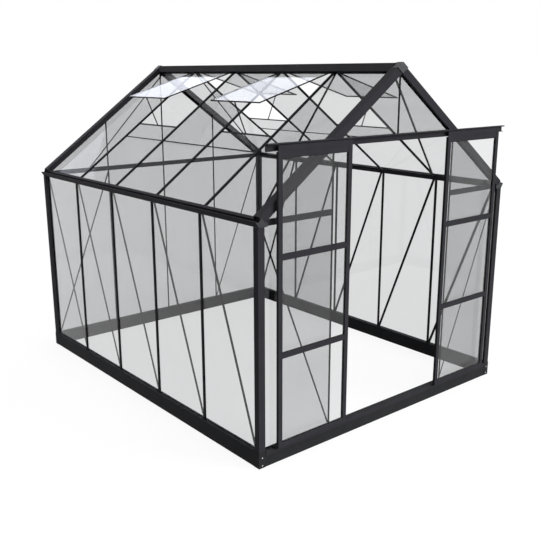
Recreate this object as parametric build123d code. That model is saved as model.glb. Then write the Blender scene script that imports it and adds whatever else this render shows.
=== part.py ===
"""Glass greenhouse: an aluminium frame with a gable roof, four roof vents and a pair of sliding doors."""
import os
from math import cos, radians, sin, tan

from build123d import *

# Plan in millimetres: the door gable faces -Y, the ridge runs along Y, bays lie between glazing bars
side_bays = 5
gable_bays = 4
side_pitch = 620
gable_pitch = 626
corner_offset = 28
wall_depth = 44

# Heights above the ground and the slope of the roof in degrees
base_height = 115
eave_height = 1636
spring_rise = 30
roof_angle = 36

# Glass panes, set back behind the outer faces of the corner posts
glass_thickness = 4
glass_inset = 18
glass_gap = 2
glass_cover = 7

# Glazing bars of the side walls and the roof: a cap outside, a web between the panes and a flange inside
bar_cap_width = 22
bar_cap_height = 7.5
bar_cap_chamfer = 2.5
bar_web = 6
bar_flange_width = 14
bar_flange_thickness = 3

# Joint strips between the panes of the gables, and the taller rails across the gables at eave height
strip_width = 11
strip_thickness = 2
strip_web = 3
strip_chamfer = 0.6
eave_rail_height = 42

# Flat braces and purlins on the inner side of the bars
brace_width = 24
brace_inset = 20
gable_brace_width = 12
roof_brace_width = 20
brace_thickness = 2
purlin_width = 12
purlin_place = 587
purlin_overhang = 10

# Base rails, hollow box sections, and the plates round their corners
base_wall = 3
bracket_leg = 56
bracket_thickness = 2

# Corner posts, angles with a lip on each leg that the glass bears on
post_front_leg = 54
post_side_leg = 45
post_wall = 3
post_round = 2

# Eave gutters, with an inner wall that ends in a sloping flange and an outer wall that flares to a bead
gutter_width = 60
gutter_floor = 38
gutter_height = 56
gutter_lip_height = 36
gutter_flange = 22
gutter_bead = 4.5
gutter_wall = 3
gutter_cap_thickness = 5
gutter_cap_shares = ((-0.53, 0), (0.63, 0), (1, 0.64), (0.62, 0.6), (0.25, 1.08),
                     (-0.1, 0.55), (-0.53, 0.46))

# Gable rafters, deeper angles that stand proud of the roof glass and lap over the gable glass
rafter_lift = 46
rafter_drop = 13
rafter_top_width = 62
rafter_wall = 3
rafter_chamfer = 5
rafter_overhang = 28

# Ridge beam with a hollow core between two skirts, and the folded caps on the gable apexes
ridge_step = 3.5
ridge_top_width = 54
ridge_skirt_width = 80
ridge_skirt_height = 55
ridge_core_width = 24
ridge_core_height = 74.5
ridge_wall = 3
ridge_round = 3
ridge_cap_front = 5
ridge_cap_reach = 50
ridge_cap_thickness = 2

# Roof vents, hinged at the ridge and propped open
vent_bays = (1, 3)
vent_length = 745
vent_opening = 19.5
vent_side_gap = 4
vent_frame_width = 10
vent_frame_depth = 9
vent_drop = 51
sill_width = 14
sill_leg = 6
sill_wall = 4
sill_lap = 12
stay_width = 8
stay_thickness = 5

# Door track across the front gable, a channel with a bead for the rollers, and the guide strip on the base
track_drop = 474.5
track_depth = 48
track_length = 2442
track_flange = 28
track_lip = 8
track_tread = 17
track_wall = 3
tread_bead_width = 3
tread_bead_height = 2
guide_height = 35
guide_thickness = 3
lintel_height = 44

# Sliding doors, drawn as far open as the stops let them; each slides inwards by its travel to close
door_width = 640
left_door_travel = 491
right_door_travel = 505
door_meeting_gap = 12
door_thickness = 20
door_skirt = 4
door_round = 1.5
stile_width = 36
header_height = 78
header_plate = 5
header_recess = 1.5
header_groove_rise = 37
header_groove_width = 3
header_groove_depth = 1.2
cross_rail_height = 38
bottom_rail_height = 37
door_pane_shares = (0.328, 0.341, 0.331)
glazing_groove = 8
running_gap = 5
roller_radius = 11
roller_width = 8
roller_groove = 1.6
axle_radius = 4
roller_inset = 90
roller_clearance = 0.3

# Stops on the base beside the open doors, wedges that rise towards the door
stop_width = 14
stop_height = 12
stop_toe_height = 8
stop_reach = 14

# Overrun of the cutting tools
overrun = 400

# Places that follow from the sizes above
half_length = side_bays * side_pitch / 2 + corner_offset
half_width = gable_bays * gable_pitch / 2 + corner_offset
inner_x = half_width - wall_depth
inner_y = half_length - wall_depth
glass_x = half_width - glass_inset
glass_y = half_length - glass_inset
spring_height = eave_height + spring_rise
gutter_top = eave_height + gutter_height
slope = radians(roof_angle)
up_left_slope = (cos(slope), 0, sin(slope))
ridge_half_core = ridge_core_width / 2
slope_length = (inner_x - ridge_half_core) / cos(slope)
bar_inside = glass_thickness + bar_flange_thickness
strip_inside = glass_thickness + strip_thickness
door_back = half_length + guide_thickness + running_gap
door_front = door_back + door_thickness
frame_shift = (max(door_front, half_length + track_flange) - half_length - gutter_cap_thickness) / 2


def roof_height(x, lift=0):
    """Height, at a distance x from the middle, of a plane that lies lift above the face of the roof glass."""
    return spring_height + (inner_x - abs(x)) * tan(slope) + lift / cos(slope)


def block(x, y, z):
    """A block between two limits on each axis."""
    size = Box(x[1] - x[0], y[1] - y[0], z[1] - z[0])
    return Pos((x[0] + x[1]) / 2, (y[0] + y[1]) / 2, (z[0] + z[1]) / 2) * size


def prism(plane, outline, length):
    """A closed outline drawn on a plane and extruded along the plane's normal."""
    return extrude(plane * make_face(Polyline(*outline, close=True)), amount=length, dir=plane.z_dir)


def along_y(outline, length):
    """An outline in X and Z, extruded over a length centred on the middle of the house."""
    return prism(Plane.XZ.offset(-length / 2), outline, length)


def across_x(outline, x):
    """An outline in Y and Z, extruded between two limits in X."""
    return prism(Plane.YZ.offset(x[0]), outline, x[1] - x[0])


def turned(pieces):
    """The same pieces on the opposite side, turned half round the vertical axis."""
    return [piece.rotate(Axis.Z, 180) for piece in pieces]


def mirrored(pieces, plane):
    """The same pieces, mirrored in a plane."""
    return [piece.mirror(plane) for piece in pieces]


def save(name, pieces):
    """Write one node, moved so that the origin is under the middle of the whole outline."""
    solids = [solid for piece in pieces for solid in piece.solids()]
    shape = solids[0] if len(solids) == 1 else Compound(solids)
    export_step(Pos(0, frame_shift, 0) * shape, os.path.join("parts", name + ".step"))


def bar_lines(bays, pitch):
    """Places of the bars between the bays of one wall."""
    return [(index - bays / 2) * pitch for index in range(1, bays)]


def pane_spans(lines, edge, web):
    """Limits of the panes between the webs of the bars, and of the outer panes at the edge of the wall."""
    side = web / 2 + glass_gap
    lows = [-edge] + [line + side for line in lines]
    highs = [line - side for line in lines] + [edge]
    return list(zip(lows, highs))


def grip_outline(cap_width, cap_height, chamfer, web_width, flange_width, flange_thickness):
    """Section of a bar that grips two panes: X runs along the wall, Y outwards from the face of the glass."""
    cap, web, flange = cap_width / 2, web_width / 2, flange_width / 2
    right = [(flange, -glass_thickness - flange_thickness), (flange, -glass_thickness),
             (web, -glass_thickness), (web, 0), (cap, 0), (cap, cap_height - chamfer),
             (cap - chamfer, cap_height)]
    return right + [(-x, y) for x, y in reversed(right)]


bar_section = grip_outline(bar_cap_width, bar_cap_height, bar_cap_chamfer, bar_web,
                           bar_flange_width, bar_flange_thickness)
strip_section = grip_outline(strip_width, strip_thickness, strip_chamfer, strip_web,
                             strip_width, strip_thickness)
rail_section = grip_outline(eave_rail_height, strip_thickness, strip_chamfer, strip_web,
                            eave_rail_height, strip_thickness)


def upright(section, x, y, outward, bottom, top):
    """A standing bar whose cap faces outward."""
    along = Vector(outward).cross(Vector(0, 0, 1))
    return prism(Plane((x, y, bottom), x_dir=along, z_dir=(0, 0, 1)), section, top - bottom)


def gable_region(lift, y_limits):
    """Everything under a plane that lies lift above the roof glass, between two limits along the house."""
    outline = [(-inner_x, 0), (inner_x, 0), (inner_x, roof_height(inner_x, lift)),
               (0, roof_height(0, lift)), (-inner_x, roof_height(inner_x, lift))]
    return prism(Plane.XZ.offset(-y_limits[1]), outline, y_limits[1] - y_limits[0])


def wall_brace(plane, start, end, width):
    """A flat strip on a wall, cut level at its two ends, from one point of the wall to another."""
    run, rise = end[0] - start[0], end[1] - start[1]
    reach = width * (run ** 2 + rise ** 2) ** 0.5 / abs(rise) / 2
    outline = [(start[0] - reach, start[1]), (start[0] + reach, start[1]),
               (end[0] + reach, end[1]), (end[0] - reach, end[1])]
    return prism(plane, outline, brace_thickness)


os.makedirs("parts", exist_ok=True)

# Base rails
base_hollow = (base_wall, base_height - base_wall)
side_run = (-half_length, half_length)
left_base = block((-half_width, -inner_x), side_run, (0, base_height))
left_base = left_base - block((base_wall - half_width, -inner_x - base_wall), side_run, base_hollow)
front_run = (-inner_x, inner_x)
front_base = block(front_run, (-half_length, -inner_y), (0, base_height))
front_base = front_base - block(front_run, (base_wall - half_length, -inner_y - base_wall), base_hollow)
save("base_left_rail", [left_base])
save("base_right_rail", turned([left_base]))
save("base_front_rail", [front_base])
save("base_back_rail", turned([front_base]))

# Plates round the corners of the base
bracket_outline = [(0, 0), (bracket_leg, 0), (bracket_leg, bracket_thickness),
                   (bracket_thickness, bracket_thickness), (bracket_thickness, bracket_leg), (0, bracket_leg)]
bracket_corner = Pos(-half_width - bracket_thickness, -half_length - bracket_thickness, 0)
bracket = bracket_corner * prism(Plane.XY, bracket_outline, base_height)
left_brackets = [bracket] + mirrored([bracket], Plane.XZ)
save("base_corner_plates", left_brackets + mirrored(left_brackets, Plane.YZ))

# Corner posts, rounded on the outer edge
post_outline = [(0, 0), (post_front_leg, 0), (post_front_leg, glass_inset),
                (post_front_leg - post_wall, glass_inset), (post_front_leg - post_wall, post_wall),
                (post_wall, post_wall),
                (post_wall, post_side_leg - post_wall), (glass_inset, post_side_leg - post_wall),
                (glass_inset, post_side_leg), (0, post_side_leg)]
post_height = eave_height - base_height
post = Pos(-half_width, -half_length, base_height) * prism(Plane.XY, post_outline, post_height)
outer_edge = post.edges().filter_by(Axis.Z).sort_by(lambda edge: edge.center().X + edge.center().Y)[0]
post = fillet(outer_edge, post_round)
left_posts = [post] + mirrored([post], Plane.XZ)
save("corner_posts", left_posts + mirrored(left_posts, Plane.YZ))

# Eave gutters, with a flange that follows the roof and a bead along the outer edge, and their end caps
flange_run, flange_fall = gutter_flange * cos(slope), gutter_flange * sin(slope)
bead_middle = gutter_width - gutter_bead
gutter_outline = [(0, 0), (gutter_floor, 0), (bead_middle, gutter_lip_height),
                  (bead_middle - gutter_wall, gutter_lip_height),
                  (gutter_floor - gutter_wall / 2, gutter_wall), (gutter_wall, gutter_wall),
                  (gutter_wall, gutter_height - gutter_wall * (1 + tan(slope))),
                  (flange_run, gutter_height - flange_fall - gutter_wall),
                  (flange_run, gutter_height - flange_fall), (0, gutter_height)]
left_gutter = along_y([(-inner_x - u, eave_height + v) for u, v in gutter_outline], 2 * half_length)
bead_plane = Plane.XZ.offset(-half_length) * Pos(-inner_x - bead_middle, eave_height + gutter_lip_height, 0)
left_gutter = left_gutter + extrude(bead_plane * Circle(gutter_bead), 2 * half_length)
save("left_gutter", [left_gutter])
save("right_gutter", turned([left_gutter]))
gutter_cap_outline = [(-inner_x - u * gutter_width, eave_height + v * gutter_height)
                      for u, v in gutter_cap_shares]
gutter_cap = prism(Plane.XZ.offset(half_length), gutter_cap_outline, gutter_cap_thickness)
left_caps = [gutter_cap] + mirrored([gutter_cap], Plane.XZ)
save("gutter_end_caps", left_caps + mirrored(left_caps, Plane.YZ))

# Gable rafters, resting on the gutter flanges and meeting at the apex
rafter_inner = rafter_top_width - rafter_wall
inner_chamfer = rafter_chamfer / 2
rafter_outline = [(rafter_chamfer, rafter_lift), (rafter_top_width, rafter_lift), (rafter_top_width, 0),
                  (rafter_inner, 0), (rafter_inner, rafter_lift - rafter_wall),
                  (rafter_wall + inner_chamfer, rafter_lift - rafter_wall),
                  (rafter_wall, rafter_lift - rafter_wall - inner_chamfer),
                  (rafter_wall, rafter_wall - rafter_drop), (glass_inset, rafter_wall - rafter_drop),
                  (glass_inset, -rafter_drop), (0, -rafter_drop), (0, rafter_lift - rafter_chamfer)]
rafter_start = Vector(-inner_x, -half_length, spring_height) - Vector(up_left_slope) * overrun
rafter_plane = Plane(rafter_start, x_dir=(0, 1, 0), z_dir=up_left_slope)
rafter_keep = block((-inner_x - rafter_overhang, 0), side_run, (eave_height, 2 * spring_height))
gutter_space = along_y([(-inner_x, 0), (-inner_x, gutter_top),
                        (-inner_x - overrun, gutter_top - overrun * tan(slope)), (-inner_x - overrun, 0)],
                       2 * half_length)
rafter = prism(rafter_plane, rafter_outline, 2 * slope_length + overrun) & rafter_keep
rafter = rafter - gutter_space
front_rafters = [rafter] + mirrored([rafter], Plane.YZ)
save("front_gable_rafters", front_rafters)
save("back_gable_rafters", mirrored(front_rafters, Plane.XZ))

# Ridge beam
ridge_top = roof_height(0, rafter_lift) - ridge_step
skirt_foot, core_foot = ridge_top - ridge_skirt_height, ridge_top - ridge_core_height
ridge_half = [(ridge_half_core, core_foot), (ridge_half_core, ridge_top - ridge_wall),
              (ridge_top_width / 2 - ridge_wall, ridge_top - ridge_wall),
              (ridge_skirt_width / 2 - ridge_wall, skirt_foot), (ridge_skirt_width / 2, skirt_foot),
              (ridge_top_width / 2, ridge_top)]
ridge_length = 2 * (half_length - rafter_top_width)
ridge = along_y(ridge_half + [(-x, z) for x, z in reversed(ridge_half)], ridge_length)
ridge = fillet(ridge.edges().filter_by(Axis.Y).group_by(Axis.Z)[-1], ridge_round)
hollow = ridge_half_core - ridge_wall
ridge = ridge - block((-hollow, hollow), side_run, (core_foot + ridge_wall, ridge_top - ridge_wall))
save("ridge_beam", [ridge])

# Caps over the apexes of the gable rafters: a fold that lies on both rafters and a diamond over their mitre
cap_low, cap_high = roof_height(0, -rafter_drop), roof_height(0, rafter_lift + ridge_cap_thickness)
cap_middle = (cap_low + cap_high) / 2
cap_half = (cap_high - cap_low) / 2 / tan(slope)
cap_seat = cap_middle - ridge_cap_thickness / cos(slope)
fold_outline = [(-cap_half, cap_middle), (-cap_half, cap_seat), (0, roof_height(0, rafter_lift)),
                (cap_half, cap_seat), (cap_half, cap_middle), (0, cap_high)]
diamond_outline = [(-cap_half, cap_middle), (0, cap_low), (cap_half, cap_middle), (0, cap_high)]
cap_fold_plane = Plane.XZ.offset(half_length + ridge_cap_front - ridge_cap_reach)
apex_cap = prism(cap_fold_plane, fold_outline, ridge_cap_reach)
apex_cap = apex_cap + prism(Plane.XZ.offset(half_length), diamond_outline, ridge_cap_front)
save("ridge_end_caps", [apex_cap] + mirrored([apex_cap], Plane.XZ))

# Standing glazing bars of the side walls
side_lines = bar_lines(side_bays, side_pitch)
gable_lines = bar_lines(gable_bays, gable_pitch)
left_bars = [upright(bar_section, -glass_x, y, (-1, 0, 0), base_height, eave_height) for y in side_lines]
save("left_wall_bars", left_bars)
save("right_wall_bars", turned(left_bars))

# Sloping glazing bars of the roof, from the gutter to the ridge
roof_slot = block((-inner_x, -ridge_half_core), side_run, (0, 2 * spring_height))


def roof_plane(y, place=0):
    """Plane across the left slope, at a distance up the slope from the gutter; its Y rises from the glass."""
    origin = Vector(-inner_x, y, spring_height) + Vector(up_left_slope) * place
    return Plane(origin, x_dir=(0, 1, 0), z_dir=up_left_slope)


def roof_strip(outline, y, low, high):
    """A section that runs up the left slope between two places, trimmed at the gutter and the ridge."""
    return prism(roof_plane(y, low), outline, high - low) & roof_slot


left_roof_bars = [roof_strip(bar_section, y, -overrun, slope_length + overrun) for y in side_lines]
save("left_roof_bars", left_roof_bars)
save("right_roof_bars", turned(left_roof_bars))

# Rail and joint strips of the back gable
rail_middle = eave_height + eave_rail_height / 2
rail_top = eave_height + eave_rail_height
back_rail_plane = Plane((-inner_x, glass_y, rail_middle), x_dir=(0, 0, -1), z_dir=(1, 0, 0))
back_rail = prism(back_rail_plane, rail_section, 2 * inner_x)
under_rafters = gable_region(-rafter_drop, side_run)
save("back_eave_rail", [back_rail & under_rafters])


def gable_strip(x, outward, bottom, top):
    """A joint strip of the gable that faces outward, cut off under the rafters."""
    return upright(strip_section, x, outward * glass_y, (0, outward, 0), bottom, top) & under_rafters


back_low_bars = [gable_strip(x, 1, base_height, eave_height) for x in gable_lines]
back_high_bars = [gable_strip(x, 1, rail_top, 2 * spring_height) for x in gable_lines]
save("back_gable_bars", back_low_bars + back_high_bars)

# Front gable: door jambs, eave rails beside them, lintel and centre bar above the doorway
jamb_x = gable_lines[-1]
track_top = ridge_top - track_drop
track_foot = track_top - track_depth
save("door_jambs", [gable_strip(x, -1, base_height, 2 * spring_height) for x in (-jamb_x, jamb_x)])
jamb_edge = jamb_x + strip_width / 2
front_rail_plane = Plane((inner_x, -glass_y, rail_middle), x_dir=(0, 0, -1), z_dir=(-1, 0, 0))
front_rail = prism(front_rail_plane, rail_section, inner_x - jamb_edge) & under_rafters
save("front_eave_rails", [front_rail] + mirrored([front_rail], Plane.YZ))
lintel_top = track_foot + lintel_height
lintel_half = jamb_x - strip_width / 2
lintel_y = (-glass_y - strip_thickness, strip_inside - glass_y)
lintel = block((-lintel_half, lintel_half), lintel_y, (track_foot, lintel_top))
save("door_lintel", [lintel & under_rafters])
save("front_centre_bar", [gable_strip(0, -1, lintel_top, 2 * spring_height)])

# Braces of the side walls, one in each bay, falling towards the front on the left and the back on the right
left_brace_plane = Plane((bar_inside - glass_x, 0, 0), x_dir=(0, 1, 0), z_dir=(1, 0, 0))
side_ends = [-inner_y] + side_lines + [inner_y]
side_spans = list(zip(side_ends[:-1], side_ends[1:]))
left_braces = [wall_brace(left_brace_plane, (low + brace_inset, base_height),
                          (high - brace_inset, eave_height), brace_width) for low, high in side_spans]
save("left_wall_braces", left_braces)
save("right_wall_braces", turned(left_braces))

# Slender braces of the outer bays of the two gables, from the base to the eaves
back_brace_y = glass_y - strip_inside - brace_thickness
back_brace_plane = Plane((0, back_brace_y, 0), x_dir=(-1, 0, 0), z_dir=(0, 1, 0))
gable_ends = [-inner_x] + gable_lines + [inner_x]
outer_bays = (gable_ends[:2], gable_ends[-2:])
back_braces = [wall_brace(back_brace_plane, (high, base_height), (low, eave_height), gable_brace_width)
               for low, high in outer_bays]
save("back_wall_braces", back_braces)
front_brace_plane = Plane((0, strip_inside - glass_y, 0), x_dir=(-1, 0, 0), z_dir=(0, 1, 0))
front_brace = wall_brace(front_brace_plane, (jamb_x, base_height), (inner_x, eave_height), gable_brace_width)
save("front_wall_braces", [front_brace] + mirrored([front_brace], Plane.YZ))

# Braces of the end bays of the roof and a purlin strip across the three middle bays
left_slope_plane = Plane((-inner_x, 0, spring_height), x_dir=(0, 1, 0), z_dir=(-sin(slope), 0, cos(slope)))
brace_plane = left_slope_plane.offset(-bar_inside - brace_thickness)


def roof_brace(eave_y, ridge_y):
    """A flat strip under the bars of the left slope, from a place at the gutter to one at the ridge."""
    foot = -roof_brace_width
    head = -slope_length - roof_brace_width
    reach = roof_brace_width * ((ridge_y - eave_y) ** 2 + (head - foot) ** 2) ** 0.5 / abs(head - foot) / 2
    outline = [(eave_y - reach, foot), (eave_y + reach, foot),
               (ridge_y + reach, head), (ridge_y - reach, head)]
    return prism(brace_plane, outline, brace_thickness) & roof_slot


left_roof_braces = [roof_brace(side_lines[-1], half_length - rafter_top_width - brace_inset),
                    roof_brace(rafter_top_width + brace_inset - half_length, side_lines[0])]
save("roof_braces", left_roof_braces + turned(left_roof_braces))
purlin_half = side_lines[-1] + purlin_overhang
purlin_foot = -bar_inside - brace_thickness
purlin_outline = [(-purlin_half, purlin_foot), (purlin_half, purlin_foot),
                  (purlin_half, -bar_inside), (-purlin_half, -bar_inside)]
left_purlin = prism(roof_plane(0, purlin_place), purlin_outline, purlin_width)
save("roof_purlins", [left_purlin] + turned([left_purlin]))

# Sills under the roof vents, angles that close the top edge of the pane between the two bars
sill_foot = slope_length - vent_length - sill_lap
vent_middles = [(side_spans[bay][0] + side_spans[bay][1]) / 2 for bay in vent_bays]
sill_half = (side_pitch - bar_web) / 2
sill_leg_half = (side_pitch - bar_flange_width) / 2 - glass_gap


def vent_sill(y):
    """The sill of one vent: a plate as thick as the glass with a leg that hangs inside the upper edge."""
    plate = [(-sill_half, -glass_thickness), (sill_half, -glass_thickness), (sill_half, 0), (-sill_half, 0)]
    leg = [(-sill_leg_half, -glass_thickness - sill_leg), (sill_leg_half, -glass_thickness - sill_leg),
           (sill_leg_half, 0), (-sill_leg_half, 0)]
    return (prism(roof_plane(y, sill_foot), plate, sill_width)
            + prism(roof_plane(y, sill_foot + sill_width - sill_wall), leg, sill_wall))


left_sills = [vent_sill(y) for y in vent_middles]
save("vent_sills", left_sills + turned(left_sills))

# Roof vents: a frame with a rebate for its pane, hinged against the core of the ridge
vent_slope = radians(roof_angle - vent_opening)
vent_down = (-cos(vent_slope), 0, -sin(vent_slope))
vent_hinge_height = ridge_top - vent_drop
vent_half = (side_pitch - bar_cap_width) / 2 - vent_side_gap
vent_head = 2 * vent_frame_width
pane_half = vent_half - vent_frame_width / 2
pane_head = vent_head - vent_frame_width / 2
pane_foot = vent_length - vent_frame_width / 2


def vent_slab(y, half, start, end, low, high):
    """A slab in an open vent of the left slope, between two places down from its hinge and two heights."""
    plane = Plane((-ridge_half_core, y, vent_hinge_height), x_dir=(0, -1, 0), z_dir=vent_down)
    outline = [(-half, low), (half, low), (half, high), (-half, high)]
    return prism(plane.offset(start), outline, end - start)


def vent_frame(y):
    """The frame of one vent: a slab with a window through it and a rebate for the pane round the window."""
    slab = vent_slab(y, vent_half, -overrun, vent_length, -vent_frame_depth, 0) & roof_slot
    window_half, window_foot = vent_half - vent_frame_width, vent_length - vent_frame_width
    window = vent_slab(y, window_half, vent_head, window_foot, -overrun, overrun)
    return slab - window - vent_slab(y, pane_half, pane_head, pane_foot, -glass_thickness, overrun)


def vent_pane(y):
    """The pane of one vent, lying in the rebate of its frame."""
    half, head, foot = pane_half - glass_gap, pane_head + glass_gap, pane_foot - glass_gap
    return vent_slab(y, half, head, foot, -glass_thickness, 0)


left_vent_frames = [vent_frame(y) for y in vent_middles]
left_vent_panes = [vent_pane(y) for y in vent_middles]
save("vent_frames", left_vent_frames + turned(left_vent_frames))
save("vent_panes", left_vent_panes + turned(left_vent_panes))

# Stays that prop the vents open, from the sill to the bottom of the vent frame


def on_slope(place):
    """Point of the left slope, in X and Z, at a distance up from the gutter on the face of the glass."""
    return (-inner_x + place * cos(slope), spring_height + place * sin(slope))


def under_vent(place):
    """Point under an open vent, in X and Z, at a distance down from its hinge."""
    return (-ridge_half_core - place * cos(vent_slope) + vent_frame_depth * sin(vent_slope),
            vent_hinge_height - place * sin(vent_slope) - vent_frame_depth * cos(vent_slope))


stay_foot = sill_foot + (sill_width - stay_width) / 2
stay_head = vent_length - (vent_frame_width + stay_width) / 2
stay_outline = [on_slope(stay_foot), on_slope(stay_foot + stay_width),
                under_vent(stay_head), under_vent(stay_head + stay_width)]
left_stays = [prism(Plane.XZ.offset(-y - stay_thickness / 2), stay_outline, stay_thickness)
              for y in vent_middles]
save("vent_stays", left_stays + turned(left_stays))

# Panes of the side walls
side_panes = pane_spans(side_lines, inner_y - glass_gap, bar_web)
left_panes = [block((-glass_x, glass_thickness - glass_x), span, (base_height, eave_height))
              for span in side_panes]
save("left_wall_glass", left_panes)
save("right_wall_glass", turned(left_panes))

# Panes of the roof, cut short below the vents
roof_panes = pane_spans(side_lines, half_length - rafter_top_width + glass_cover, bar_web)


def roof_pane(bay, span):
    """One pane of the left slope, from the gutter to the ridge or to the sill of a vent."""
    outline = [(span[0], -glass_thickness), (span[1], -glass_thickness), (span[1], 0), (span[0], 0)]
    top = sill_foot if bay in vent_bays else slope_length - glass_gap
    return roof_strip(outline, 0, -overrun, top)


left_roof_panes = [roof_pane(bay, span) for bay, span in enumerate(roof_panes)]
save("left_roof_glass", left_roof_panes)
save("right_roof_glass", turned(left_roof_panes))

# Panes of the back gable, below and above its rail
gable_panes = pane_spans(gable_lines, inner_x - glass_gap, strip_web)
back_glass = (glass_y - glass_thickness, glass_y)
front_glass = (-glass_y, glass_thickness - glass_y)
under_roof = gable_region(glass_cover - rafter_drop, side_run)
pane_low = rail_middle - strip_web / 2 - glass_gap
pane_high = rail_middle + strip_web / 2 + glass_gap


def low_panes(spans, y):
    """Panes between the base and the rail at eave height."""
    return [block(span, y, (base_height, pane_low)) for span in spans]


def high_panes(spans, y, foot):
    """Panes from a given height up to the rafters."""
    return [block(span, y, (foot, 2 * spring_height)) & under_roof for span in spans]


save("back_gable_glass", low_panes(gable_panes, back_glass)
     + high_panes(gable_panes, back_glass, pane_high))

# Panes of the front gable: beside the doorway, above the eave rails and above the lintel
beside = (gable_panes[0], gable_panes[-1])
above = (gable_panes[1], gable_panes[-2])
save("front_gable_glass", low_panes(beside, front_glass) + high_panes(beside, front_glass, pane_high)
     + high_panes(above, front_glass, lintel_top))

# Door track on the gable rafters, with a bead on its tread, and the guide strip on the base below it
roller_back = track_wall + running_gap
bead_y = roller_back + roller_width / 2
bead_back, bead_front = bead_y - tread_bead_width / 2, bead_y + tread_bead_width / 2
bead_top = track_wall + tread_bead_height
lip_back = track_flange - track_wall
track_outline = [(0, 0), (track_tread, 0), (track_tread, track_wall), (bead_front, track_wall),
                 (bead_front, bead_top), (bead_back, bead_top), (bead_back, track_wall),
                 (track_wall, track_wall), (track_wall, track_depth - track_wall),
                 (lip_back, track_depth - track_wall),
                 (lip_back, track_depth - track_lip), (track_flange, track_depth - track_lip),
                 (track_flange, track_depth), (0, track_depth)]
track_run = (-track_length / 2, track_length / 2)
track = across_x([(-half_length - out, track_foot + up) for out, up in track_outline], track_run)
save("door_track", [track])
guide_y = (-half_length - guide_thickness, -half_length)
guide_half = half_width - bracket_leg - glass_gap
save("door_guide", [block((-guide_half, guide_half), guide_y, (base_height - guide_height, base_height))])

# Left door, drawn closed: stiles and rails with glazing grooves
door_y = (-door_front, -door_back)
door_x = (-door_meeting_gap / 2 - door_width, -door_meeting_gap / 2)
door_inner = (door_x[0] + stile_width, door_x[1] - stile_width)
door_foot = base_height - door_skirt
header_top = track_top - track_lip - running_gap
header_foot = header_top - header_height
header_shoulder = track_foot - running_gap
plate_back = header_plate - door_front
groove_y = (-door_front - glass_thickness + door_thickness / 2, -door_front + door_thickness / 2)
glass_inner = (door_inner[0] - glazing_groove, door_inner[1] + glazing_groove)
rail_bottom = (door_foot, door_foot + bottom_rail_height)
clear_height = header_foot - rail_bottom[1] - (len(door_pane_shares) - 1) * cross_rail_height
rails_z = [rail_bottom]
for share in door_pane_shares[:-1]:
    cross_foot = rails_z[-1][1] + share * clear_height
    rails_z.append((cross_foot, cross_foot + cross_rail_height))
lows, highs = [z[1] for z in rails_z], [z[0] for z in rails_z[1:]] + [header_foot]
door_panes = [block(glass_inner, groove_y, (low - glazing_groove, high + glazing_groove))
              for low, high in zip(lows, highs)]
stile_groove = block(glass_inner, groove_y, (lows[0] - glazing_groove, highs[-1] + glazing_groove))


def grooved(piece):
    """A rail of the door with the glazing grooves cut into it."""
    for pane in door_panes:
        piece = piece - pane
    return piece


def stile(x):
    """A stile, thick up to the track and a plate in front of it above, with a groove along its inner edge."""
    piece = block(x, door_y, (door_foot, header_shoulder))
    piece = piece + block(x, (-door_front, plate_back), (door_foot, header_top))
    return fillet(piece.edges().filter_by(Axis.Z).group_by(Axis.Y)[0], door_round) - stile_groove


def door_rail(z):
    """A rail between the stiles, with its front edges rounded."""
    piece = block(door_inner, door_y, z)
    return grooved(fillet(piece.edges().filter_by(Axis.X).group_by(Axis.Y)[0], door_round))


stiles = [stile((door_x[0], door_inner[0])), stile((door_inner[1], door_x[1]))]
rails = [door_rail(z) for z in rails_z]

# Header of the door, set back between the stiles, with a grooved face and a plate in front of the track
header_front = header_recess - door_front
groove_foot = header_foot + header_groove_rise
groove_top = groove_foot + header_groove_width
groove_back = header_front + header_groove_depth
header_outline = [(header_front, header_foot), (header_front, groove_foot), (groove_back, groove_foot),
                  (groove_back, groove_top), (header_front, groove_top), (header_front, header_top),
                  (plate_back, header_top),
                  (plate_back, header_shoulder), (-door_back, header_shoulder), (-door_back, header_foot)]
header = grooved(across_x(header_outline, door_inner))

# Rollers with a groove that rides on the bead of the track, on axles fixed to the header
axle_length = door_front - header_plate - half_length - roller_back
groove_half = tread_bead_width / 2 + roller_clearance
groove_floor = roller_radius - roller_groove
roller_half = roller_width / 2
roller_outline = [(0, 0), (0, roller_radius), (roller_half - groove_half - roller_groove, roller_radius),
                  (roller_half - groove_half, groove_floor), (roller_half + groove_half, groove_floor),
                  (roller_half + groove_half + roller_groove, roller_radius), (roller_width, roller_radius),
                  (roller_width, axle_radius), (axle_length, axle_radius), (axle_length, 0)]
roller_middle = (0, -half_length - roller_back, track_foot + bead_top + roller_clearance + groove_floor)
roller_plane = Plane(roller_middle, x_dir=(0, -1, 0), z_dir=(1, 0, 0))
roller_face = roller_plane * make_face(Polyline(*roller_outline, close=True))
roller = revolve(roller_face, axis=Axis(roller_middle, (0, -1, 0)))
rollers = [Pos(x, 0, 0) * roller for x in (door_x[0] + roller_inset, door_x[1] - roller_inset)]

# The two doors, slid open


def slid(pieces, travel):
    """The same pieces, moved along the track."""
    return [Pos(travel, 0, 0) * piece for piece in pieces]


door_pieces = {"frame": stiles + rails, "header": [header], "glass": door_panes, "rollers": rollers}
for piece, solids in door_pieces.items():
    save("left_door_" + piece, slid(solids, -left_door_travel))
    save("right_door_" + piece, slid(mirrored(solids, Plane.YZ), right_door_travel))

# Stops beside the open doors
stop_outline = [(0, 0), (stop_width, 0), (stop_width, stop_height), (0, stop_toe_height)]
stop_plane = Plane.XZ.offset(glass_y + glass_gap)
stop_x = door_x[0] - running_gap - stop_width
stop = prism(stop_plane, [(stop_x + u, base_height + v) for u, v in stop_outline], glass_inset + stop_reach)
save("door_stops", slid([stop], -left_door_travel) + slid(mirrored([stop], Plane.YZ), right_door_travel))
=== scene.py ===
from math import cos, inf, pi, radians, sin, tan

import bmesh
import bpy
from mathutils import Matrix, Vector


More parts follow.
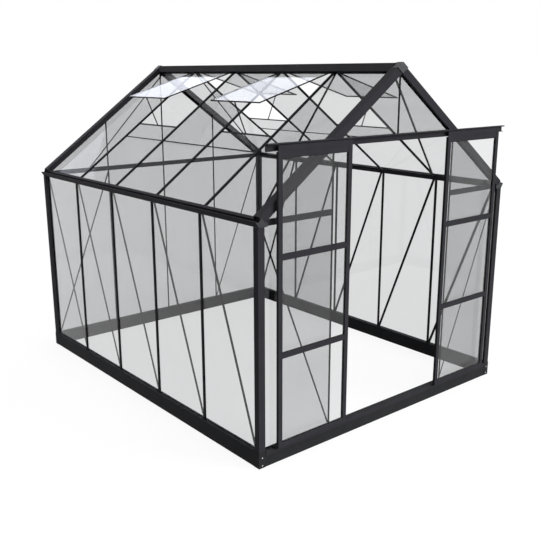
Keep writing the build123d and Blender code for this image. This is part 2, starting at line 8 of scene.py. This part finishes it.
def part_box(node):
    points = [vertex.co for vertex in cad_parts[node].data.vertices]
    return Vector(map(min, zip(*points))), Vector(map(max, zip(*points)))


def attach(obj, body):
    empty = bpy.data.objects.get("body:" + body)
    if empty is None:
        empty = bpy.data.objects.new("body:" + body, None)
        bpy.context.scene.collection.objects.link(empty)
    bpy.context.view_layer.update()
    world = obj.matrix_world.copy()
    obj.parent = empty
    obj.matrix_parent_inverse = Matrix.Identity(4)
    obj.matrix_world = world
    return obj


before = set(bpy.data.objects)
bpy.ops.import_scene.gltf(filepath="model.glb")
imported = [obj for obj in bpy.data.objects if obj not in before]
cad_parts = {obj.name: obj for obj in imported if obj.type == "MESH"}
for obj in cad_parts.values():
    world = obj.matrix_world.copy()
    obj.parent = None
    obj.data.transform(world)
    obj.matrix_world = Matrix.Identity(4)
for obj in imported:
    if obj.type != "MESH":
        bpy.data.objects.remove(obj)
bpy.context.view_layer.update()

# Base rails and corner plates: box rails folded from galvanised steel sheet, standing on edge on the ground.
# The rails and the plates wrapped round their corners have a fine-textured anthracite powder coat.


def finish(name):
    """A new finish, with the nodes and links of its tree and its main shader."""
    material = bpy.data.materials.new(name)
    material.use_nodes = True
    tree = material.node_tree
    return material, tree.nodes, tree.links, tree.nodes["Principled BSDF"]


def speckle(nodes, links, cells, detail, roughness=0.5):
    """An uneven pattern on the piece's own coordinates, with so many cells to the metre."""
    place = nodes.new("ShaderNodeTexCoord")
    pattern = nodes.new("ShaderNodeTexNoise")
    pattern.inputs["Scale"].default_value = cells
    pattern.inputs["Detail"].default_value = detail
    pattern.inputs["Roughness"].default_value = roughness
    links.new(place.outputs["Object"], pattern.inputs["Vector"])
    return pattern.outputs["Fac"]


def between(nodes, links, value, low, high):
    """A value from 0 to 1 spread between two limits."""
    spread = nodes.new("ShaderNodeMapRange")
    spread.inputs["To Min"].default_value = low
    spread.inputs["To Max"].default_value = high
    links.new(value, spread.inputs["Value"])
    return spread.outputs["Result"]


def shades(nodes, links, value, dark, pale):
    """A colour between a dark and a pale shade, by a value from 0 to 1."""
    ramp = nodes.new("ShaderNodeValToRGB")
    dark_stop, pale_stop = ramp.color_ramp.elements
    dark_stop.position, dark_stop.color = 0.3, (*dark, 1)
    pale_stop.position, pale_stop.color = 0.7, (*pale, 1)
    links.new(value, ramp.inputs["Fac"])
    return ramp.outputs["Color"]


def relief(nodes, links, shader, value, height, strength):
    """Fine relief of a surface, from a value from 0 to 1 and a height in metres."""
    bump = nodes.new("ShaderNodeBump")
    bump.inputs["Distance"].default_value = height
    bump.inputs["Strength"].default_value = strength
    links.new(value, bump.inputs["Height"])
    links.new(bump.outputs["Normal"], shader.inputs["Normal"])


def powder_coat(name, dark, pale, grains, sheen):
    """Powder coat: a slightly cloudy dark shade with a grain of about a millimetre and a faint sheen."""
    material, nodes, links, shader = finish(name)
    cloud = speckle(nodes, links, cells=7.0, detail=4.0, roughness=0.6)
    links.new(shades(nodes, links, cloud, dark, pale), shader.inputs["Base Color"])
    grain = speckle(nodes, links, cells=grains, detail=2.0)
    links.new(between(nodes, links, grain, low=0.42, high=0.6), shader.inputs["Roughness"])
    relief(nodes, links, shader, grain, height=0.0003, strength=0.2)
    shader.inputs["Specular IOR Level"].default_value = sheen
    return material


def coat(material, *names):
    """Give pieces of the frame a finish through their material slots."""
    for name in names:
        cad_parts[name].data.materials.clear()
        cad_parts[name].data.materials.append(material)


base_coat = powder_coat("base_coat", dark=(0.027, 0.0275, 0.0295), pale=(0.033, 0.0335, 0.036),
                        grains=850.0, sheen=0.02)
coat(base_coat, "base_left_rail", "base_right_rail", "base_front_rail", "base_back_rail", "base_corner_plates")

# Screws of the corner plates: pan heads with a socket, turned from steel and zinc plated, still bright.
# Two go through each plate into the gable rail, one low and one high.
head_facets = 16
merge_distance = 1e-6


def turned_head(shape, outline, place, outward):
    """A turned piece: an outline of radius and height, spun about an axis that points outward."""
    older = set(shape.verts)
    points = [shape.verts.new((radius, 0, height)) for radius, height in outline]
    lines = [shape.edges.new(pair) for pair in zip(points, points[1:])]
    bmesh.ops.spin(shape, geom=points + lines, axis=(0, 0, 1), cent=(0, 0, 0), angle=2 * pi,
                   steps=head_facets, use_merge=True)
    bmesh.ops.remove_doubles(shape, verts=[vert for vert in shape.verts if vert not in older],
                             dist=merge_distance)
    turn = Vector(outward).to_track_quat("Z", "Y").to_matrix().to_4x4()
    bmesh.ops.transform(shape, matrix=Matrix.Translation(place) @ turn,
                        verts=[vert for vert in shape.verts if vert not in older])


def mesh_of(name, shape):
    """The mesh of a finished shape."""
    mesh = bpy.data.meshes.new(name)
    shape.to_mesh(mesh)
    shape.free()
    return mesh


def placed(name, data):
    """A new object in the scene."""
    thing = bpy.data.objects.new(name, data)
    bpy.context.scene.collection.objects.link(thing)
    return thing


def fixed(name, shape, material, body, smooth=False):
    """Make a shape a piece that goes with a body of the frame."""
    bmesh.ops.recalc_face_normals(shape, faces=shape.faces)
    for face in shape.faces:
        face.smooth = smooth
    mesh = mesh_of(name, shape)
    mesh.materials.append(material)
    piece = placed(name, mesh)
    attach(piece, body)


def zinc_plate(name, dark, pale, cells, polish, metal):
    """Zinc plating: cloudy between two shades, and more polished in some places than in others."""
    material, nodes, links, shader = finish(name)
    cloud = speckle(nodes, links, cells, detail=3.0)
    links.new(shades(nodes, links, cloud, dark, pale), shader.inputs["Base Color"])
    links.new(between(nodes, links, cloud, *polish), shader.inputs["Roughness"])
    shader.inputs["Metallic"].default_value = metal
    return material


bright_zinc = zinc_plate("bright_zinc", dark=(0.62, 0.62, 0.60), pale=(0.74, 0.74, 0.73), cells=400.0,
                         polish=(0.28, 0.45), metal=1)
plate_low, plate_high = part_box("base_corner_plates")
plate_leg = 0.056
plate_screw_shares = (0.16, 0.65)
pan_head = ((0, 0.0012), (0.0016, 0.0012), (0.0019, 0.0022), (0.0036, 0.0021), (0.0047, 0.0014),
            (0.005, -0.0005), (0, -0.0005))
plate_screws = bmesh.new()
for x in (plate_low.x + plate_leg / 2, plate_high.x - plate_leg / 2):
    for y, outward in ((plate_low.y, (0, -1, 0)), (plate_high.y, (0, 1, 0))):
        for share in plate_screw_shares:
            turned_head(plate_screws, pan_head, (x, y, share * plate_high.z), outward)
fixed("corner_plate_screws", plate_screws, bright_zinc, "house", smooth=True)

# Corner posts: angles of extruded aluminium with a rounded corner, powder coated a little lighter than
# the base. They stand on the base and carry the gutters and the gable rafters.
frame_coat = powder_coat("frame_coat", dark=(0.0362, 0.0352, 0.0410), pale=(0.0425, 0.0415, 0.0478),
                         grains=1000.0, sheen=0.02)
coat(frame_coat, "corner_posts")

# Glazing bars of the side walls and the roof: slim extruded sections with a black-coated cap strip.
# The cap presses the edges of two panes against the bar.
bar_coat = powder_coat("bar_coat", dark=(0.011, 0.011, 0.012), pale=(0.016, 0.016, 0.018),
                       grains=1000.0, sheen=0.05)
coat(bar_coat, "left_wall_bars", "right_wall_bars", "left_roof_bars", "right_roof_bars")

# Seals along the bars: black rubber lips that show on both sides of each cap strip, pressed on the glass.
# On the roof the lips beside a vent end at its sill.


def drawn_strip(shape, section, side, out, start, end):
    """A strip between two points, drawn through a section that is given to the side and outwards."""
    ring = [shape.verts.new(start + side * across + out * rise) for across, rise in section]
    grown = bmesh.ops.extrude_face_region(shape, geom=[shape.faces.new(ring)])["geom"]
    far_end = [item for item in grown if isinstance(item, bmesh.types.BMVert)]
    bmesh.ops.translate(shape, vec=end - start, verts=far_end)


seal_rubber, nodes, links, shader = finish("seal_rubber")
dust = speckle(nodes, links, cells=60.0, detail=5.0, roughness=0.7)
dusty_black = shades(nodes, links, dust, dark=(0.006, 0.006, 0.006), pale=(0.012, 0.012, 0.012))
links.new(dusty_black, shader.inputs["Base Color"])
links.new(between(nodes, links, dust, low=0.55, high=0.75), shader.inputs["Roughness"])
pores = speckle(nodes, links, cells=1500.0, detail=1.0)
relief(nodes, links, shader, pores, height=0.0001, strength=0.3)
shader.inputs["Specular IOR Level"].default_value = 0.15

cap_half = 0.011
lip = ((0, 0), (0.003, 0), (0.0028, 0.001), (0.0012, 0.0022), (0, 0.0024))
bars_low, bars_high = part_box("left_wall_bars")
bar_count = 4
bar_pitch = (bars_high.y - bars_low.y - 2 * cap_half) / (bar_count - 1)
bar_lines = [bars_low.y + cap_half + bar_pitch * index for index in range(bar_count)]
wall_seals = bmesh.new()
for face_x, out in ((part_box("left_wall_glass")[0].x, -1), (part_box("right_wall_glass")[1].x, 1)):
    for y in bar_lines:
        for way in (-1, 1):
            start = Vector((face_x, y + way * cap_half, bars_low.z))
            drawn_strip(wall_seals, lip, Vector((0, way, 0)), Vector((out, 0, 0)), start,
                        start + Vector((0, 0, bars_high.z - bars_low.z)))
fixed("wall_bar_seals", wall_seals, seal_rubber, "house")

roof_angle = radians(36)
roof_spring = 1.666
roof_foot = -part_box("left_roof_bars")[0].x
sill_foot = -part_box("vent_sills")[0].x
seal_top = 0.045
roof_seals = bmesh.new()
for hand in (-1, 1):
    for index, y in enumerate(bar_lines):
        vent_side = 1 if index % 2 == 0 else -1
        for way in (-1, 1):
            reach = sill_foot if way == vent_side else seal_top
            rise = (roof_foot - reach) * tan(roof_angle)
            low = Vector((hand * roof_foot, y + way * cap_half, roof_spring))
            high = Vector((hand * reach, y + way * cap_half, roof_spring + rise))
            out = Vector((hand * sin(roof_angle), 0, cos(roof_angle)))
            drawn_strip(roof_seals, lip, Vector((0, way, 0)), out, low, high)
fixed("roof_bar_seals", roof_seals, seal_rubber, "house")

# Framing of the gables: thin H strips of extruded aluminium between the panes, and rails across at eave height.
# On the door side two strips are the jambs, with a lintel behind the track and a centre bar above it.
coat(bar_coat, "back_gable_bars", "door_jambs", "front_centre_bar")
coat(frame_coat, "back_eave_rail", "front_eave_rails", "door_lintel")

# Braces and purlins: flat strips cut from galvanised steel and coated dark.
# They lie inside the bars, from corner to corner of a bay.
brace_coat = powder_coat("brace_coat", dark=(0.012, 0.012, 0.013), pale=(0.018, 0.018, 0.020),
                         grains=700.0, sheen=0.05)
coat(brace_coat, "left_wall_braces", "right_wall_braces", "back_wall_braces", "front_wall_braces",
     "roof_braces", "roof_purlins")

# Bolts of the braces and purlins: domed or pan heads, black zinc plated, on the inner side.
# One goes through each end of a brace and through each crossing of a purlin and a bar.
black_zinc = zinc_plate("black_zinc", dark=(0.018, 0.018, 0.019), pale=(0.035, 0.035, 0.037), cells=300.0,
                        polish=(0.3, 0.5), metal=0.6)
domed_head = ((0, 0.0032), (0.0016, 0.0032), (0.0019, 0.0046), (0.0034, 0.0044), (0.0048, 0.0034),
              (0.0054, 0.0016), (0.0075, 0.0014), (0.0078, -0.0005), (0, -0.0005))
bolt_inset = 0.016
strip_half = 0.001
corner_digits = 5
brace_bolts = bmesh.new()


def strip_ends(name, chosen):
    """The middles of the lower and the upper end of one flat strip of a node."""
    corners = {tuple(round(value, corner_digits) for value in vertex.co)
               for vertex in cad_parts[name].data.vertices if chosen(vertex.co)}
    ordered = sorted((Vector(corner) for corner in corners), key=lambda corner: corner.z)
    half = len(ordered) // 2
    return sum(ordered[:half], Vector()) / half, sum(ordered[half:], Vector()) / half


def bolt_strip(name, chosen, inward, head):
    """Bolts through both ends of one flat strip."""
    foot, top = strip_ends(name, chosen)
    inset = bolt_inset / (top - foot).length
    for share in (inset, 1 - inset):
        turned_head(brace_bolts, head, foot.lerp(top, share) + strip_half * inward, inward)


bay_limits = [-inf] + bar_lines + [inf]
for low, high in zip(bay_limits, bay_limits[1:]):
    bolt_strip("left_wall_braces", lambda co: low < co.y < high, Vector((1, 0, 0)), domed_head)
    bolt_strip("right_wall_braces", lambda co: low < co.y < high, Vector((-1, 0, 0)), domed_head)
for hand in (-1, 1):
    bolt_strip("front_wall_braces", lambda co: co.x * hand > 0, Vector((0, 1, 0)), pan_head)
    bolt_strip("back_wall_braces", lambda co: co.x * hand > 0, Vector((0, -1, 0)), pan_head)
    under_roof = Vector((-hand * sin(roof_angle), 0, -cos(roof_angle)))
    for way in (-1, 1):
        bolt_strip("roof_braces", lambda co: co.x * hand > 0 and co.y * way > 0, under_roof, domed_head)
    low_edge, high_edge = strip_ends("roof_purlins", lambda co: co.x * hand > 0)
    middle = (low_edge + high_edge) / 2
    for y in bar_lines:
        crossing = Vector((middle.x, y, middle.z))
        turned_head(brace_bolts, pan_head, crossing + strip_half * under_roof, under_roof)
fixed("brace_bolts", brace_bolts, black_zinc, "house", smooth=True)

# Eave gutters: extruded aluminium troughs with a sloping flange for the roof and a bead along the outer edge.
# Their end caps are moulded in a paler grey plastic and pushed on.


def moulded_plastic(name, dark, pale):
    """Moulded plastic: an even shade with a soft spark-eroded texture."""
    material, nodes, links, shader = finish(name)
    cloud = speckle(nodes, links, cells=25.0, detail=3.0)
    links.new(shades(nodes, links, cloud, dark, pale), shader.inputs["Base Color"])
    texture = speckle(nodes, links, cells=1600.0, detail=1.0)
    links.new(between(nodes, links, texture, low=0.35, high=0.55), shader.inputs["Roughness"])
    relief(nodes, links, shader, texture, height=0.0002, strength=0.2)
    shader.inputs["Specular IOR Level"].default_value = 0.1
    return material


coat(frame_coat, "left_gutter", "right_gutter")
cap_plastic = moulded_plastic("cap_plastic", dark=(0.052, 0.053, 0.058), pale=(0.060, 0.061, 0.066))
coat(cap_plastic, "gutter_end_caps")

# Gable rafters and ridge: deep extruded angles and a skirted beam, coated like the posts.
# The ridge's coat is a paler copy of that coat: painted light, for the light that falls on its sloping skirt
# from above.
# The caps over the two apexes are moulded in a paler grey plastic.
coat(frame_coat, "front_gable_rafters", "back_gable_rafters")
# A paler copy of the frame coat, as painted light on the ridge's skirt.
ridge_coat_painted_light = powder_coat("ridge_coat_painted_light", dark=(0.054, 0.054, 0.060), pale=(0.062, 0.062, 0.068),
                         grains=1000.0, sheen=0.02)
coat(ridge_coat_painted_light, "ridge_beam")
apex_plastic = moulded_plastic("apex_plastic", dark=(0.085, 0.086, 0.092), pale=(0.098, 0.099, 0.106))
coat(apex_plastic, "ridge_end_caps")

# Roof vents: slim black frames hung under the ridge, on sills that close the panes below them.
# Each is propped open on a flat steel stay with a pin at both ends.
coat(bar_coat, "vent_frames", "vent_sills")
coat(brace_coat, "vent_stays")
pin_share = 0.035
pin = ((0, 0.0075), (0.002, 0.0075), (0.0032, 0.0065), (0.0032, 0.002), (0, 0.002))
stay_pins = bmesh.new()
for hand in (-1, 1):
    for way in (-1, 1):
        foot, top = strip_ends("vent_stays", lambda co: co.x * hand > 0 and co.y * way > 0)
        for share in (pin_share, 1 - pin_share):
            for side in (-1, 1):
                turned_head(stay_pins, pin, foot.lerp(top, share), (0, side, 0))
fixed("vent_stay_pins", stay_pins, black_zinc, "house", smooth=True)

# Panes of the walls, the gables, the roof and its vents: clear horticultural float glass, cut to the bays.
# It takes out a little light and mirrors the surroundings at a low angle.


def pane_glass(name, dull, clear, index):
    """Clear glass: most light goes straight through, and both faces mirror more towards a low angle."""
    material, nodes, links, shader = finish(name)
    nodes.remove(shader)
    through = nodes.new("ShaderNodeBsdfTransparent")
    streaks = speckle(nodes, links, cells=2.5, detail=2.0)
    links.new(shades(nodes, links, streaks, dull, clear), through.inputs["Color"])
    mirror = nodes.new("ShaderNodeBsdfGlossy")
    mirror.inputs["Color"].default_value = (1, 1, 1, 1)
    mirror.inputs["Roughness"].default_value = 0.03
    side = nodes.new("ShaderNodeNewGeometry")
    share = nodes.new("ShaderNodeFresnel")
    face_index = between(nodes, links, side.outputs["Backfacing"], low=index, high=1 / index)
    links.new(face_index, share.inputs["IOR"])
    mix = nodes.new("ShaderNodeMixShader")
    links.new(share.outputs["Fac"], mix.inputs["Fac"])
    links.new(through.outputs["BSDF"], mix.inputs[1])
    links.new(mirror.outputs["BSDF"], mix.inputs[2])
    links.new(mix.outputs["Shader"], nodes["Material Output"].inputs["Surface"])
    return material


wall_glass = pane_glass("wall_glass", dull=(0.819, 0.821, 0.824), clear=(0.829, 0.831, 0.834), index=1.32)
coat(wall_glass, "left_wall_glass", "right_wall_glass", "back_gable_glass", "front_gable_glass")
roof_glass = pane_glass("roof_glass", dull=(0.820, 0.822, 0.825), clear=(0.830, 0.832, 0.835), index=1.08)
coat(roof_glass, "left_roof_glass", "right_roof_glass", "vent_panes")

# Door gear: the extruded track with its bead, the guide strip on the base and the two rubber stops.
# The track is screwed to the gable rafters through its back wall.
coat(frame_coat, "door_track", "door_guide")
stop_rubber = moulded_plastic("stop_rubber", dark=(0.008, 0.008, 0.008), pale=(0.012, 0.012, 0.012))
coat(stop_rubber, "door_stops")
track_low, track_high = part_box("door_track")
track_wall = 0.003
track_flange = 0.028
track_screw_lines = (-0.665, -0.620, 0.620, 0.665)
track_screws = bmesh.new()
for x in track_screw_lines:
    place = (x, track_low.y + track_flange - track_wall, (track_low.z + track_high.z) / 2)
    turned_head(track_screws, pan_head, place, (0, -1, 0))
fixed("track_screws", track_screws, bright_zinc, "house", smooth=True)

# Sliding doors: frames and headers of extruded aluminium, coated like the posts, with a slightly clearer glass.
# The rollers are turned from black nylon.
coat(frame_coat, "left_door_frame", "right_door_frame", "left_door_header", "right_door_header")
door_glass = pane_glass("door_glass", dull=(0.885, 0.887, 0.890), clear=(0.895, 0.897, 0.900), index=1.34)
coat(door_glass, "left_door_glass", "right_door_glass")
roller_nylon = moulded_plastic("roller_nylon", dark=(0.014, 0.014, 0.015), pale=(0.020, 0.020, 0.021))
coat(roller_nylon, "left_door_rollers", "right_door_rollers")

# Seals and screws of the doors: a black rubber lip round each pane, inside and outside, and a brush along the
# meeting stile. The brushes of the two doors nearly touch when the doors are closed.
# Screws hold the rails from the outer edge.
brush_pile, nodes, links, shader = finish("brush_pile")
pile = speckle(nodes, links, cells=900.0, detail=2.0, roughness=0.7)
pile_shade = shades(nodes, links, pile, dark=(0.008, 0.008, 0.008), pale=(0.03, 0.03, 0.03))
links.new(pile_shade, shader.inputs["Base Color"])
relief(nodes, links, shader, pile, height=0.0006, strength=0.8)
shader.inputs["Roughness"].default_value = 0.9
shader.inputs["Specular IOR Level"].default_value = 0.05

stile = 0.036
door_lip = ((0, 0), (0.003, 0), (0.0026, 0.0008), (0.001, 0.0016), (0, 0.0016))
rail_tops = (0.148, 0.7855, 1.4468)
rail_feet = (0.7475, 1.4088, 2.0519)
brush_section = ((-0.0025, 0), (0.0025, 0), (0.0015, 0.004), (-0.0015, 0.004))
rail_screw_share = 0.6
for body, inward in (("left_door", 1), ("right_door", -1)):
    door_low, door_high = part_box(body + "_frame")
    panes_low, panes_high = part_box(body + "_glass")
    left, right = door_low.x + stile, door_high.x - stile
    meeting_x, outer_x = (door_high.x, door_low.x) if inward > 0 else (door_low.x, door_high.x)
    middle_y = (door_low.y + door_high.y) / 2

    lips = bmesh.new()
    for face_y, out in ((panes_low.y, Vector((0, -1, 0))), (panes_high.y, Vector((0, 1, 0)))):
        for low, high in zip(rail_tops, rail_feet):
            corners = [Vector((left, face_y, low)), Vector((right, face_y, low)),
                       Vector((right, face_y, high)), Vector((left, face_y, high))]
            for corner, following in zip(corners, corners[1:] + corners[:1]):
                side = Vector((0, -1, 0)).cross(following - corner).normalized()
                drawn_strip(lips, door_lip, side, out, corner, following)
    fixed(body + "_pane_lips", lips, seal_rubber, body)

    brush_strip = bmesh.new()
    drawn_strip(brush_strip, brush_section, Vector((0, 1, 0)), Vector((inward, 0, 0)),
                Vector((meeting_x, middle_y, door_low.z)), Vector((meeting_x, middle_y, rail_feet[-1])))
    fixed(body + "_brush", brush_strip, brush_pile, body)

    rail_screws = bmesh.new()
    for low, high in zip((door_low.z,) + rail_feet[:2], rail_tops):
        place = (outer_x, middle_y, low + rail_screw_share * (high - low))
        turned_head(rail_screws, pan_head, place, (-inward, 0, 0))
    fixed(body + "_rail_screws", rail_screws, black_zinc, body, smooth=True)

# Floor of the studio: a wide, pale, matt sheet that keeps a soft shadow of the house.
# It shows white to the camera and in the glass.


def reckon(nodes, links, operation, *values):
    """The result of a sum on values, each a number or the output of a node."""
    step = nodes.new("ShaderNodeMath")
    step.operation = operation
    for socket, value in zip(step.inputs, values):
        if isinstance(value, bpy.types.NodeSocket):
            links.new(value, socket)
        else:
            socket.default_value = value
    return step.outputs["Value"]


def shown(nodes, links):
    """One where the camera looks, also through or in something, and nought for light that falls on things."""
    path = nodes.new("ShaderNodeLightPath")
    seen = reckon(nodes, links, "MAXIMUM", path.outputs["Is Camera Ray"], path.outputs["Is Glossy Ray"])
    return reckon(nodes, links, "MAXIMUM", seen, path.outputs["Is Transmission Ray"])


floor_half = 60
floor_shade = 0.15
floor_glow = 0.875
floor_paint, nodes, links, shader = finish("floor_paint")
shader.inputs["Base Color"].default_value = (floor_shade, floor_shade, floor_shade, 1)
shader.inputs["Roughness"].default_value = 1
shader.inputs["Specular IOR Level"].default_value = 0
shader.inputs["Emission Color"].default_value = (1, 1, 1, 1)
glow = between(nodes, links, shown(nodes, links), low=0, high=floor_glow)
links.new(glow, shader.inputs["Emission Strength"])
floor_shape = bmesh.new()
bmesh.ops.create_grid(floor_shape, x_segments=1, y_segments=1, size=floor_half)
floor = placed("studio_floor", mesh_of("studio_floor", floor_shape))
floor.data.materials.append(floor_paint)

# Light of the studio: a surround that is brighter overhead, and one broad soft lamp from the front right.
# A bluish white band low in the surround shows only where the panes mirror it, as on the vents and at the
# rear of the roof.
low_light, overhead_light = 0.05, 1.55
band_middle, band_half = 0.37, 0.09
band_light = (1.75, 1.85, 2.15)
lamp_stand = (0.60, -0.66, 0.29)
world = bpy.data.worlds.new("studio")
bpy.context.scene.world = world
world.use_nodes = True
nodes, links = world.node_tree.nodes, world.node_tree.links
surround = nodes["Background"]
surround.inputs["Color"].default_value = (1, 1, 1, 1)
direction = nodes.new("ShaderNodeTexCoord")
parts = nodes.new("ShaderNodeSeparateXYZ")
links.new(direction.outputs["Generated"], parts.inputs["Vector"])
overhead = reckon(nodes, links, "POWER", parts.outputs["Z"], 2)
level = nodes.new("ShaderNodeMix")
level.inputs["B"].default_value = 1
links.new(shown(nodes, links), level.inputs["Factor"])
links.new(between(nodes, links, overhead, low_light, overhead_light), level.inputs["A"])
links.new(level.outputs["Result"], surround.inputs["Strength"])
in_band = reckon(nodes, links, "COMPARE", parts.outputs["Z"], band_middle, band_half)
path = nodes.new("ShaderNodeLightPath")
mirrored = reckon(nodes, links, "MULTIPLY", in_band, path.outputs["Is Glossy Ray"])
band = nodes.new("ShaderNodeBackground")
band.inputs["Color"].default_value = (*band_light, 1)
links.new(mirrored, band.inputs["Strength"])
both = nodes.new("ShaderNodeAddShader")
links.new(surround.outputs["Background"], both.inputs[0])
links.new(band.outputs["Background"], both.inputs[1])
links.new(both.outputs["Shader"], nodes["World Output"].inputs["Surface"])
lamp = bpy.data.lights.new("soft_lamp", "SUN")
lamp.energy = 3.2
lamp.angle = radians(40)
soft_lamp = placed("soft_lamp", lamp)
soft_lamp.rotation_euler = Vector(lamp_stand).to_track_quat("Z", "Y").to_euler()
soft_lamp.visible_glossy = False

# Camera: a normal lens at the height of the ridge, looking down over the left front corner.
# The picture is developed without a film curve, and a ray may pass through many panes.
eye = Vector((-4.096, -5.082, 2.5577))
heading, dip, roll = 39.646, 14.746, -0.132
optics = bpy.data.cameras.new("camera")
optics.lens = 50.15
optics.sensor_width = 36
camera = placed("camera", optics)
aim = Matrix.Rotation(radians(-heading), 4, "Z") @ Matrix.Rotation(radians(90 - dip), 4, "X")
camera.matrix_world = Matrix.Translation(eye) @ aim @ Matrix.Rotation(radians(roll), 4, "Z")
bpy.context.scene.camera = camera
bpy.context.scene.view_settings.view_transform = "Standard"
bpy.context.scene.cycles.transparent_max_bounces = 32
